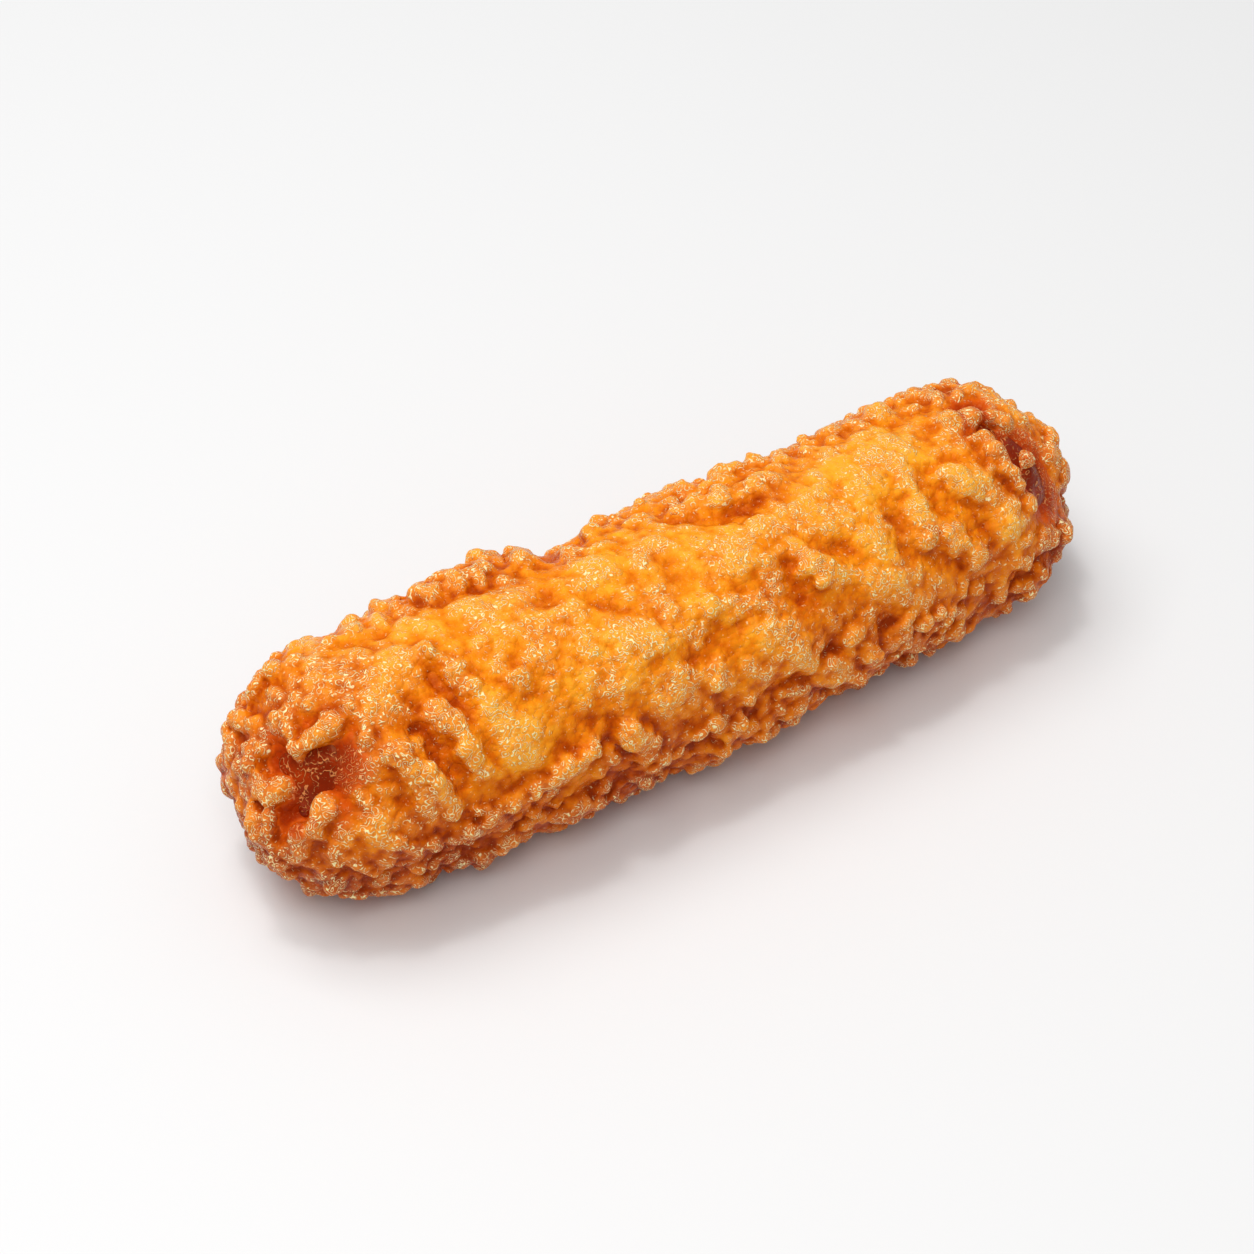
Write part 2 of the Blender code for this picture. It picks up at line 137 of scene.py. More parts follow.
FOLDS = (
    (-64, 50, -62, 62, 2.2, -0.8),
    (-55, 52, -54, 60, 1.8, -0.8),
    (-49, 38, -47, 50, 1.7, -1.4),
    (-47, 50, -45, 68, 1.8, -1.5),
    (-43, 18, -42, 28, 2.2, -1.1),
    (-42, 28, -41, 44, 1.5, -1.1),
    (-54, -10, -52, 4, 1.8, -0.6),
    (-65, 68, -67, 94, 1.6, -0.8),
    (-27, 4, -22, -1, 1.8, -0.7),
    (-22, -1, -14, 18, 1.8, -0.6),
    (-46, -26, -45, -18, 1.6, -0.7),
    (-24, 62, -20, 68, 1.8, -1.1),
    (-23, 76, -21, 90, 1.8, -0.9),
    (-3, 4, -4, 18, 2.0, -0.8),
    (-7, 51, -4, 57, 1.8, -0.8),
    (-2, 48, 2, 47, 2.2, -1.1),
    (-41, 80, -37, 76, 2.2, -0.7),
    (-45, 100, -42, 98, 2.4, -1.2),
    (-29, 101, -23, 102, 2.8, -1.3),
    (-12, 102, -6, 100, 2.6, -1.1),
    (4, -16, 10, -5, 2.0, -1.0),
    (10, -5, 15, -3, 1.8, -1.0),
    (14, 32, 13, 50, 1.9, -1.0),
    (14, 50, 19, 60, 1.7, -0.7),
    (16, 80, 20, 72, 1.8, -0.6),
    (21, 34, 24, 39, 1.7, -0.7),
    (33, 30, 33, 50, 1.6, -0.8),
    (43, 22, 42, 36, 1.8, -0.6),
    (42, 38, 46, 42, 1.8, -1.0),
    (47, 44, 47, 58, 1.4, -0.7),
    (37, 58, 42, 68, 2.0, -1.2),
    (43, 84, 40, 96, 1.8, -0.8),
    (43, -26, 43, -12, 1.6, -0.7),
    (47, 2, 50, -4, 1.7, -0.9),
    (53, 22, 54, 38, 1.3, -0.8),
    (4, 98, 10, 86, 1.8, -0.7),
    (27, 104, 32, 97, 2.6, -1.4),
    (-64, 110, -44, 110, 6.0, -1.2),
    (30, -48, 56, -46, 5.0, -1.0),
    (-12, -50, -16, -120, 4.0, -1.0),
    (24, -50, 28, -130, 4.0, -1.1),
    (-64, -46, -56, -44, 4.0, -1.0),
    (-47, -48, -45, -48, 3.0, -1.8),
    (-35, -50, -33, -50, 2.5, -1.2),
    (-19, -48, -17, -48, 2.5, -1.2),
    (14, -48, 22, -48, 3.0, -1.4),
    (57, -38, 59, -38, 3.5, -2.0),
    (29, 128, 31, 128, 2.5, -1.5),
)

# Crags that stand out singly or in chains: x and angle of both ends, number and radius, with x and radius in
# mm. A sink is a share of the radius; in a pair, first where the coat is smooth and then where it is rough.
CRAG_CHAINS = (
    (-53, 44, -51, 70, 7, 1.7),
    (-50, 56, -48, 75, 5, 1.8),
    (-45, 34, -44, 40, 2, 2.3),
    (-42, 8, -39, 27, 4, 1.9),
    (-43, 46, -42, 66, 4, 2.1),
    (-32, 34, -32, 34, 1, 2.2),
    (-65, 20, -59, 21, 4, 1.8),
    (-65, 58, -66, 68, 2, 1.9),
    (-69, 36, -69, 36, 1, 1.9),
    (-68, 74, -68, 84, 2, 1.8),
    (-37, 84, -26, 75, 5, 2.5),
    (-19, 70, -16, 88, 5, 2.2),
    (-1, 36, 6, 42, 3, 2.0),
    (-3, 66, -2, 74, 2, 2.2),
    (17, 37, 18, 42, 2, 2.4),
    (5, -22, 20, -10, 6, 2.2),
    (37, 50, 37, 50, 1, 2.0),
    (41, 53, 42, 58, 2, 2.4),
    (44, 64, 45, 68, 2, 2.2),
    (45, 26, 48, 40, 4, 2.0),
    (51, 2, 55, 3, 2, 2.1),
    (54, 18, 55, 38, 5, 1.9),
    (61, 36, 62, 38, 1, 1.7),
    (59, 8, 59, 10, 1, 1.6),
    (53, -22, 60, -34, 4, 2.1),
    (44, -26, 36, -28, 3, 2.5),
    (-2, -30, -8, -32, 2, 2.3),
    (-20, -31, -36, -31, 5, 2.9),
    (-44, -26, -52, -24, 3, 1.9),
    (-62, 90, -44, 93, 6, 1.9),
    (30, 84, 38, 92, 3, 2.2),
)
STREWN_CHAINS = 105
STREWN_RUN = 4
STREWN_RADIUS = (1.3 * MM, 2.5 * MM)
CRAG_STEP = 1.5
CHAIN_SINK = 0.2
CHAIN_UNEVENNESS = (0.85, 1.1)
STREWN_SINK = (0.95, 0.25)
CRAG_FREE_THINNESS = 0.3
CRAG_WOBBLE = 0.45
WOBBLE_CELL = 0.8
WOBBLE_APART = 10.0
LUMP_HALO = 1.6
CRAG_LIFT = 1.8 * MM

# Bare patches: x and angle of a hole's middle and its radius, with x and radius in mm.
BARE_PATCHES = (
    (-63.5, 34, 3.9),
    (-66.5, 46, 3.5),
    (-67.5, 23, 2.6),
    (-68.0, 60, 2.4),
    (55.5, 1, 2.3),
    (57.0, 12, 2.4),
    (59.0, 24, 2.4),
    (60.5, 35, 2.8),
    (61.5, 46, 3.4),
    (62.4, 60, 2.6),
)
PATCH_DIP = 2.9 * MM
CLEARANCE = 0.3 * MM
PATCH_SPREAD = 1.6
PATCH_GLOW = 3.0

# The finer relief that only this surface has.
CORE_GRID = (220, 300)
CRAG_GRID = (16, 12)
NUB_GRID = (10, 8)
NUB_COUNT = 1500
NUB_RADIUS = (0.8 * MM, 1.7 * MM)
NUB_SINK = (0.7, 0.0)
NUB_WOBBLE = 0.25
NUB_TRIES = 4 * NUB_COUNT
NUB_LEAST_DRAW = 0.2
NUB_BIAS = 1.5
NUB_FREE_THINNESS = 0.45
MELT_CELL = 0.5 * MM
MOST_TRIANGLES = 190000
BEAD_CELLS = (1.6 * MM, 2.7 * MM)
BEAD_HEIGHTS = (0.45 * MM, 0.68 * MM)
BEAD_BASE = 0.4
BEAD_SMOOTH_SHARE = 0.75
SOFTNESS = (0.5, 0.0)
SOFT_ROUNDS = 10
HOLLOW_GRID = (60, 70)
CASING_GRID = (230, 340)
CASING_SWELL = 0.1 * MM
CASING_SWELL_CELL = 9.0 * MM
BULGE = 1.3 * MM
WRINKLE = 0.25 * MM
WRINKLE_CELL = 1.3 * MM
WRINKLE_STRETCH = (1.0, 0.45, 0.45)

# Browning, from 0, pale, to 1, dark: what each thing adds to it. Besides the fry colour it holds painted
# shade, darker in creases and broad hollows and in part below, and painted light, paler on crests. Relief is
# measured against the skin smoothed that many rounds, in units of the height given. The underside is a range
# of angles in radians.
SMALL_RELIEF = (12, 0.12 * MM)
BROAD_RELIEF = (120, 0.5 * MM)
SMALL_MOST = 2.0
BROAD_MOST = 1.4
BROWN_BASE = 0.28
# Painted shade in creases and painted light on small crests.
SHADE_IN_CREASES = -0.14
PAINTED_LIGHT_ON_CRESTS = -0.07
# Paler on broad pillows, their own tone, and darker in broad hollows, as painted shade.
PILLOW_TONE_AND_SHADE = -0.17
BROWN_LUMPS = 0.07
BROWN_ROUGH = 0.10
BROWN_CLOUDS = 0.18
BROWN_ENDS = 0.07
BROWN_PATCHES = 0.38
# Below: partly the browner underside and partly painted shade.
BROWN_AND_SHADE_BELOW = 0.42
BROWN_CLOUD_CELL = 9 * MM
BROWN_END = (45 * MM, 72 * MM)
# The underside that is browned and given painted shade.
BROWN_AND_SHADE_UNDERSIDE = (0.7, 2.3)
LUMP_OVER_PILLOW = 0.6
LUMP_OVER_GLOW = 0.5
LUMP_OVER_PATCH = 0.85

# Crowns, from 0 to 1, where the painted highlights, the curls of light, gather: likewise.
CROWN_BASE = 0.35
CROWN_PILLOWS = 0.3
CROWN_CRESTS = 0.2
CREST_MOST = 1.5
CROWN_PATCHES = 0.4
# Fewer painted highlights below.
CROWN_BELOW = -0.2

# The curls of light, which are painted highlights, the painted shade in the gaps beside them, and the
# colours: cells of the noises, turns of the lines drawn on them, pairs of values between which each is eased
# from 0 to 1, and the shares in which they are mixed.
STIR_CELL = 1.1 * MM
STIR_REACH = 0.6 * MM
BUBBLE_CELL = 1.0 * MM
DIMPLE_CELL = 0.5 * MM
RING_TURNS = 15.0
FLOW_CELL = 1.3 * MM
FLOW_TURNS = 44.0
CASING_TURNS = 26.0
BREAK_CELL = 0.7 * MM
CHOICE_CELL = 3.0 * MM
RING_CHOICE = (0.55, 0.65)
LINE_CREST = (0.4, 0.95)
GAP_TROUGH = (0.1, -1.0)
DOT_MIDDLE = (0.28, 0.12)
DOT_PLACES = (0.4, 0.3)
CURL_PLACES = (0.58, 0.78)
STREAKY_SHARE = 0.3
DOT_PLENTY = 0.15
CURL_PLENTY = 0.26
LINE_LIGHT = 0.6
PLENTY_LIGHT = 0.5
DOT_LIGHT = 0.4
CROWN_RANGE = (0.2, 0.85)
BARE_RANGE = (0.1, 0.5)
CASING_EDGE = (0.06, 0.32)
SPECKLE_CELL = 1.6 * MM
CLOUD_CELL = 5.0 * MM
MOTTLE_CELL = 4.0 * MM
CROWN_CLOUDS = 1.4
SPECKLE_BROWN = 0.5
CLOUD_BROWN = 0.4
# Painted shade: the gaps beside the painted highlight lines are darkened.
GAP_PAINTED_SHADE = 0.14
# How much painted highlight the curls and, faintly, the crowns mix into the batter's colour, and how much
# duller it is on the bare patches.
CURL_STRENGTH = 0.9
CROWN_PAINTED_SHEEN = 0.045
BARE_DULLING = 0.45

# The camera: a lens of 85 mm on a 36 mm sensor, looking at the roll's middle a little off centre.
AXIS_HEIGHT = 18.6 * MM
CAMERA_AZIMUTH = -31.7
CAMERA_ELEVATION = 45.0
CAMERA_DISTANCE = 450.9 * MM
CAMERA_SLIDE = (-6.38 * MM, 0.37 * MM)
LENS = 85.0
SENSOR = 36.0

# The studio.
FLOOR_REACH = 3.0
FLOOR_COLOUR = (0.77, 0.77, 0.77, 1.0)
FLOOR_ROUGHNESS = 0.7


# --------------------------------------------------------------------------------------------------
# Noise


def hashed(cells, seed):
    """A number from 0 to 1 for each whole-number cell, always the same for one cell and seed."""
    stirred = sum(cells[..., n].astype(np.int64) * factor for n, factor in enumerate(CELL_FACTORS))
    h = (stirred + seed * SEED_FACTOR) & ALL_BITS
    h = ((h ^ (h >> 13)) * STIR_FACTORS[0]) & ALL_BITS
    h = ((h ^ (h >> 16)) * STIR_FACTORS[1]) & ALL_BITS
    return ((h ^ (h >> 15)) & LOW_BITS) / LOW_BITS


def soft_noise(points, cell, seed):
    """Smooth noise from -1 to 1: hashed values at the corners of a cubic lattice, eased between them."""
    place = points / cell
    corner = np.floor(place)
    t = place - corner
    t = t * t * (3 - 2 * t)
    total = np.zeros(len(points))
    for step in np.ndindex(2, 2, 2):
        weight = np.prod(np.where(step, t, 1 - t), axis=1)
        total += weight * hashed(corner + step, seed)
    return 2 * total - 1


def knobbles(points, cell, seed):
    """Round lumps packed together, 0 to 1: the highest of the domes seated in the cells round each point."""
    place = points / cell
    corner = np.floor(place)
    best = np.zeros(len(points))
    for step in np.ndindex(3, 3, 3):
        near = corner + step - 1
        seat = near + np.stack([hashed(near, seed + n) for n in range(3)], axis=1)
        height = 0.5 + 0.5 * hashed(near, seed + 3)
        far = np.sum((place - seat) ** 2, axis=1)
        best = np.maximum(best, height - far)
    return best


def ease(value, low, high):
    """0 at low and 1 at high, eased between them by a cubic. With low above high it falls instead."""
    t = np.clip((value - low) / (high - low), 0, 1)
    return t * t * (3 - 2 * t)


# --------------------------------------------------------------------------------------------------
# The roll


def roll_skin(share, angle, length, radius):
    """Points and outward normals on a round-ended roll: a straight side carried round X, closed by a quarter
    circle at each end. share is -1 at the -X tip and 1 at the +X tip, by length of arc; angle is round X in
    radians."""
    half = length / 2 - radius
    arc = share * (half + radius * math.pi / 2)
    turn = np.clip(np.abs(arc) - half, 0, None) / radius
    x = np.sign(arc) * (np.minimum(np.abs(arc), half) + radius * np.sin(turn))
    along = np.clip(x / BOW_REACH, -1, 1)
    out = radius * np.cos(turn) * (1 - TAPER * along)
    points = np.stack(
        [x, BOW * (along**2 - 0.5) - out * np.sin(angle), AXIS_HEIGHT + out * np.cos(angle)], axis=-1
    )
    across = np.cos(turn)
    normals = np.stack(
        [np.sign(arc) * np.sin(turn), -np.sin(angle) * across, np.cos(angle) * across], axis=-1
    )
    return points, normals


def share_at(x, length, radius):
    """The share of the arc, -1 to 1, at which a roll's skin stands at x."""
    half = length / 2 - radius
    over = np.clip((np.abs(x) - half) / radius, 0, 1)
    arc = np.minimum(np.abs(x), half) + radius * np.arcsin(over)
    return np.sign(x) * arc / (half + radius * math.pi / 2)


def skin_at(x, degrees, length, radius):
    """Point and normal of a roll at x, in metres, and an angle in degrees."""
    return roll_skin(share_at(x, length, radius), np.radians(degrees), length, radius)


def angle_round(points):
    """The angle round the bowed axis of any points, in radians from the top, positive towards -Y."""
    along = np.clip(points[:, 0] / BOW_REACH, -1, 1)
    return np.arctan2(BOW * (along**2 - 0.5) - points[:, 1], points[:, 2] - AXIS_HEIGHT)


def strokes(points, table, coat):
    """Sum of soft ridges or folds: each is a bell curve of the distance to a straight stroke between two
    places."""
    total = np.zeros(len(points))
    for x0, a0, x1, a1, width, rise in table:
        start, end = skin_at(x0 * MM, a0, *coat)[0], skin_at(x1 * MM, a1, *coat)[0]
        along = np.clip((points - start) @ (end - start) / np.dot(end - start, end - start), 0, 1)
        gap = np.linalg.norm(points - start - along[:, None] * (end - start), axis=1)
        total += rise * MM * np.exp(-((gap / (width * MM)) ** 2))
    return total


def roughness(x, angle):
    """How craggy the coat is, 0 to 1: least on the face between the top and the front, most at the ends."""
    off_face = np.abs((np.degrees(angle) - SMOOTH_FACE_ANGLE + 180) % 360 - 180)
    sides = ease(off_face, *SMOOTH_FACE_SPREAD)
    ends = np.maximum(END_ROUGHNESS * ease(np.abs(x), *ROUGH_END), ease(np.abs(x), *ROUGH_TIP))
    return LEAST_ROUGHNESS + (1 - LEAST_ROUGHNESS) * np.maximum(sides, ends)


def thinness(points, coat, spread=PATCH_SPREAD):
    """1 at the middle of a bare patch, falling to 0 round it by a bell curve of the distance."""
    most = np.zeros(len(points))
    for x, degrees, radius in BARE_PATCHES:
        gap = np.linalg.norm(points - skin_at(x * MM, degrees, *coat)[0], axis=1)
        most = np.maximum(most, np.exp(-((gap / (spread * radius * MM)) ** 2)))
    return most


def coat_rise(points, angle, coat):
    """Height of the coat over the plain roll: swells, knobbles where it is rough, strokes, and dips at the
    bare patches."""
    thin = thinness(points, coat)
    swell = soft_noise(points, SWELL_CELL, SEED) + 0.5 * soft_noise(points, SWELL_CELL / 2, SEED + 1)
    knobbly = (knobbles(points, KNOBBLE_CELL, SEED + 2) - KNOBBLE_BASE) * roughness(points[:, 0], angle)
    placed = strokes(points, PILLOWS, coat) + strokes(points, FOLDS, coat)
    rise = np.maximum(SWELL_HEIGHT * swell + KNOBBLE_HEIGHT * knobbly + placed, DEEPEST_DIP)
    slim = END_SLIMNESS * ease(np.abs(points[:, 0]), *SLIM_END)
    return (1 - thin) * (rise - slim) - PATCH_DIP * thin


def crag_seats(coat):
    """Share, angle in radians, radius and sink of every crag: the chains, then those strewn where it is
    rough."""
    length, coat_radius = coat
    rng = np.random.default_rng(SEED)
    seats = []
    for x0, a0, x1, a1, number, radius in CRAG_CHAINS:
        for t in np.linspace(0, 1, number):
            share = share_at((x0 + t * (x1 - x0)) * MM, length, coat_radius)
            angle = math.radians(a0 + t * (a1 - a0))
            seats.append((share, angle, radius * MM * rng.uniform(*CHAIN_UNEVENNESS), CHAIN_SINK))
    rng = np.random.default_rng(SEED + 1)
    half_arc = length / 2 + coat_radius * (math.pi / 2 - 1)
    chains = 0
    while chains < STREWN_CHAINS:
        share = rng.uniform(-1, 1)
        angle = rng.uniform(-math.pi, math.pi)
        heading = rng.uniform(0, 2 * math.pi)
        x = roll_skin(share, angle, length, coat_radius)[0][0]
        if rng.uniform(LEAST_ROUGHNESS, 1) > roughness(x, angle):
            continue
        chains += 1
        for radius in rng.uniform(*STREWN_RADIUS, size=rng.integers(1, STREWN_RUN + 1)):
            share = np.clip(share + CRAG_STEP * radius * math.cos(heading) / half_arc, -1, 1)
            angle += CRAG_STEP * radius * math.sin(heading) / coat_radius
            place = roll_skin(share, angle, length, coat_radius)[0].reshape(1, 3)
            if thinness(place, coat)[0] < CRAG_FREE_THINNESS:
                sink = np.interp(roughness(place[0, 0], angle), (LEAST_ROUGHNESS, 1), STREWN_SINK)
                seats.append((share, angle, radius, sink))
    return np.array(seats)


# --------------------------------------------------------------------------------------------------
# Meshes from arrays


def closed_grid(count, rings):
    """Faces of a grid of rings between two poles: vertex 0 is the first pole, then the rings in turn, then
    the last pole. Returns the quads and the triangles, wound to face outwards for a ball or roll."""
    ring = np.arange(rings - 1)[:, None] * count + 1
    here = np.arange(count)
    after = (here + 1) % count
    quads = np.stack([ring + here, ring + after, ring + count + after, ring + count + here], axis=-1)
    last = (rings - 1) * count + 1
    first_fan = np.stack([np.zeros(count, int), after + 1, here + 1], axis=-1)
    last_fan = np.stack([np.full(count, rings * count + 1), last + here, last + after], axis=-1)
    return quads.reshape(-1, 4), np.concatenate([first_fan, last_fan])


def ball_grid(count, rings):
    """Points of a unit ball on the same grid, with both poles."""
    latitude = np.linspace(-math.pi / 2, math.pi / 2, rings + 2)[1:-1, None]
    longitude = np.linspace(0, 2 * math.pi, count, endpoint=False)[None, :]
    shell = np.stack(
        [
            np.cos(latitude) * np.cos(longitude),
            np.cos(latitude) * np.sin(longitude),
            np.sin(latitude) + 0 * longitude,
        ],
        axis=-1,
    ).reshape(-1, 3)
    return np.concatenate([[[0, 0, -1.0]], shell, [[0, 0, 1.0]]])


def roll_grid(count, rings, length, radius, rise):
    """Points of a roll on the same grid, each raised along its normal by rise(points, angle)."""
    share = np.linspace(-1, 1, rings + 2)[:, None]
    angle = np.linspace(0, 2 * math.pi, count, endpoint=False)[None, :]
    share, angle = np.broadcast_arrays(share, angle)
    points, normals = roll_skin(share, angle, length, radius)
    whole = (points.reshape(-1, 3), normals.reshape(-1, 3), angle.reshape(-1))
    points, normals, angle = (
        np.concatenate([values[:1], values[count:-count], values[-1:]]) for values in whole
    )
    return points + rise(points, angle)[:, None] * normals


def mesh_of(name, points, quads, triangles):
    """A mesh from arrays of points, four-sided faces and three-sided faces."""
    mesh = bpy.data.meshes.new(name)
    mesh.vertices.add(len(points))
    mesh.vertices.foreach_set("co", np.asarray(points, np.float32).ravel())
    corners = np.concatenate([quads.ravel(), triangles.ravel()])
    sizes = np.concatenate([np.full(len(quads), 4), np.full(len(triangles), 3)])
    mesh.loops.add(len(corners))
    mesh.loops.foreach_set("vertex_index", corners.astype(np.int32))
    mesh.polygons.add(len(sizes))
    mesh.polygons.foreach_set("loop_start", (np.cumsum(sizes) - sizes).astype(np.int32))
    mesh.polygons.foreach_set("loop_total", sizes.astype(np.int32))
    mesh.update(calc_edges=True)
    mesh.validate()
    return mesh


def points_of(mesh):
    """The places of a mesh's vertices."""
    values = np.empty(len(mesh.vertices) * 3, np.float32)
    mesh.vertices.foreach_get("co", values)
    return values.reshape(-1, 3).astype(float)


def normals_of(mesh):
    """The outward normals at a mesh's vertices."""
    values = np.empty(len(mesh.vertices) * 3, np.float32)
    mesh.vertex_normals.foreach_get("vector", values)
    return values.reshape(-1, 3).astype(float)


def edges_of(mesh):
    """The two vertices of each edge."""
    values = np.empty(len(mesh.edges) * 2, np.int32)
    mesh.edges.foreach_get("vertices", values)
    return values.reshape(-1, 2)


def move_points(mesh, points):
    """Puts a mesh's vertices at these places."""
    mesh.vertices.foreach_set("co", points.astype(np.float32).ravel())
    mesh.update()


def smoothed(values, edges, rounds):
    """Each row moved to the mean of itself and its neighbours' mean, that many times over."""
    ends = np.concatenate([edges[:, 0], edges[:, 1]])
    others = np.concatenate([edges[:, 1], edges[:, 0]])
    size = len(values)
    count = np.maximum(np.bincount(ends, minlength=size), 1)
    for _ in range(rounds):
        sums = [np.bincount(ends, column, minlength=size) for column in values[others].T]
        near = np.stack(sums, axis=1) / count[:, None]
        values = 0.5 * values + 0.5 * near
    return values


def drop_scraps(mesh):
    """Leaves only the largest body. Each vertex takes the lowest label of its neighbours until none changes,
    so that every vertex of one body has the same label."""
    edges = edges_of(mesh)
    label = np.arange(len(mesh.vertices))
    while True:
        lower = label.copy()
        np.minimum.at(lower, edges[:, 0], label[edges[:, 1]])
        np.minimum.at(lower, edges[:, 1], label[edges[:, 0]])
        lower = lower[lower]
        if np.array_equal(lower, label):
            break
        label = lower
    scraps = np.flatnonzero(label != np.bincount(label).argmax())
    work = bmesh.new()
    work.from_mesh(mesh)
    work.verts.ensure_lookup_table()
    bmesh.ops.delete(work, geom=[work.verts[index] for index in scraps], context="VERTS")
    work.to_mesh(mesh)
    work.free()


def paint(mesh, name, values):
    """Keeps a number for each vertex as an attribute that the material reads."""
    layer = mesh.attributes.new(name, "FLOAT", "POINT")
    layer.data.foreach_set("value", values.astype(np.float32))


def new_object(name, mesh):
    """An object with that mesh, in the scene."""
    made = bpy.data.objects.new(name, mesh)
    bpy.context.scene.collection.objects.link(made)
    return made


def apply_modifiers(made):
    """Replaces an object's mesh by what its modifiers make of it."""
    bpy.context.view_layer.update()
    result = bpy.data.meshes.new_from_object(made.evaluated_get(bpy.context.evaluated_depsgraph_get()))
    made.modifiers.clear()
    made.data = result


# --------------------------------------------------------------------------------------------------
# Materials


def feed(tree, socket, value):
    """Links a Wire to a socket, or sets the socket's own value."""
    if isinstance(value, Wire):
        tree.links.new(value.socket, socket)
    else:
        socket.default_value = value


class Wire:
    """An output of a node, on which plain sums can be written."""

    def __init__(self, tree, socket):
        self.tree = tree
        self.socket = socket

    def maths(self, operation, first, second):
        node = self.tree.nodes.new("ShaderNodeMath")
        node.operation = operation
        for socket, value in zip(node.inputs, (first, second)):
            feed(self.tree, socket, value)
        return Wire(self.tree, node.outputs[0])

    def __add__(self, other):
        return self.maths("ADD", self, other)

    def __radd__(self, other):
        return self.maths("ADD", other, self)

    def __sub__(self, other):
        return self.maths("SUBTRACT", self, other)

    def __rsub__(self, other):
        return self.maths("SUBTRACT", other, self)

    def __mul__(self, other):
        return self.maths("MULTIPLY", self, other)

    def __rmul__(self, other):
        return self.maths("MULTIPLY", other, self)


class Finish:
    """A material and the nodes that make it."""

    def __init__(self, name):
        self.material = bpy.data.materials.new(name)
        self.material.use_nodes = True
        self.tree = self.material.node_tree
        self.shader = self.tree.nodes["Principled BSDF"]

    def node(self, kind, settings=None, output="", **sockets):
        """A node of that type: its settings first, then its sockets by name, with _ for a space."""
        made = self.tree.nodes.new(kind)
        for setting, value in (settings or {}).items():
            if setting == "stops":
                while len(made.color_ramp.elements) < len(value):
                    made.color_ramp.elements.new(1.0)
                for stop, (place, colour) in zip(made.color_ramp.elements, value):
                    stop.position = place
                    stop.color = (*colour, 1.0)
            else:
                setattr(made, setting, value)
        for name, value in sockets.items():
            feed(self.tree, self.socket(made, name), value)
        outputs = [socket for socket in made.outputs if output in (socket.identifier, socket.name)]
        return Wire(self.tree, outputs[0] if outputs else made.outputs[0])

    def socket(self, made, name):
        """A node's input socket by its identifier, or by its name with _ for a space."""
        for socket in made.inputs:
            if socket.enabled and name in (socket.identifier, socket.name, socket.name.replace(" ", "_")):
                return socket
        raise KeyError(name)

    def attribute(self, name):
        return self.node("ShaderNodeAttribute", {"attribute_name": name}, "Fac")

    def ramp(self, value, low, high):
        """0 below the low value, 1 above the high one, eased between them."""
        return self.node(
            "ShaderNodeMapRange",
            {"interpolation_type": "SMOOTHSTEP"},
            "Result",
            Value=value,
            **{"From Min": low, "From Max": high},
        )

    def blend(self, share, first, second):
        """The first colour passing into the second by a share."""
        return self.node(
            "ShaderNodeMix",
            {"data_type": "RGBA"},
            "Result_Color",
            **{"Factor_Float": share, "A_Color": first, "B_Color": second},
        )

    def tone(self, share, *stops):
        """The colour at a share of the way through the stops, each a place and a colour."""
        return self.node("ShaderNodeValToRGB", {"stops": stops}, "Color", Fac=share)

    def cosine(self, value):
        return self.node("ShaderNodeMath", {"operation": "COSINE"}, Value=value)

    def cells(self, place, size):
        """The distance to the middle of the nearest of many uneven cells."""
        return self.node("ShaderNodeTexVoronoi", {"feature": "F1"}, "Distance", Vector=place, Scale=1 / size)

    def relief(self, height_mm):
        """Normals bent by a height in mm."""
        return self.node("ShaderNodeBump", {}, "Normal", Height=height_mm, Distance=MM, Strength=1.0)

    def noise(self, place, size, detail=2.0):
        """Soft noise from 0 to 1."""
        return self.node("ShaderNodeTexNoise", {}, "Fac", Vector=place, Scale=1.0 / size, Detail=detail)

    def set(self, **values):
        """Numbers that are the same all over, on the shader's own sockets; links where a Wire is given."""
        for name, value in values.items():
            feed(self.tree, self.socket(self.shader, name), value)


def curls_of(finish, place, plenty, streaky, turns=FLOW_TURNS):
    """Fine broken curls of light, painted highlights from 0 to 1, the gaps between them, where painted shade
    goes, and how far the middle of a bubble is. The curls are contour lines of soft noise, more of them where
    streaky is high, rings round little bubbles, and dots, and there are more of all where plenty is high. A
    line is the crest of the cosine of a noise or a distance times its turns, and a gap is the cosine's
    trough."""
    stir = finish.node("ShaderNodeTexNoise", {}, "Color", Vector=place, Scale=1 / STIR_CELL, Detail=1.0)
    stirred = finish.node(
        "ShaderNodeVectorMath",
        {"operation": "MULTIPLY_ADD"},
        "Vector",
        **{"Vector": stir, "Vector_001": (STIR_REACH,) * 3, "Vector_002": place},
    )
    bubbles = finish.cells(stirred, BUBBLE_CELL)
    rings = finish.cosine(bubbles * RING_TURNS)
    contours = finish.cosine(finish.noise(place, FLOW_CELL, 1.0) * turns)
    broken = finish.noise(place, BREAK_CELL, 1.0)
    choice = finish.ramp(finish.noise(place, CHOICE_CELL, 0.0) - streaky * STREAKY_SHARE, *RING_CHOICE)
    waves = rings * choice + contours * (1.0 - choice)
    dots = finish.ramp(finish.cells(stirred, DIMPLE_CELL), *DOT_MIDDLE)
    few_dots = dots * finish.ramp(broken - plenty * DOT_PLENTY, *DOT_PLACES)
    shown = finish.ramp(broken + plenty * CURL_PLENTY, *CURL_PLACES)
    lines = finish.ramp(waves, *LINE_CREST) * shown * (plenty * PLENTY_LIGHT + LINE_LIGHT)
    curls = lines + few_dots * DOT_LIGHT
    gaps = finish.ramp(waves, *GAP_TROUGH) * shown
    return curls, gaps, bubbles


def skin_of(finish, bare, colours):
    """Colour of the casing: orange-red where the coat thins out, dark red in the middle of a patch."""
    return finish.tone(
        bare, (0.25, colours.casing_light), (0.55, colours.casing), (0.9, colours.casing_dark)
    )


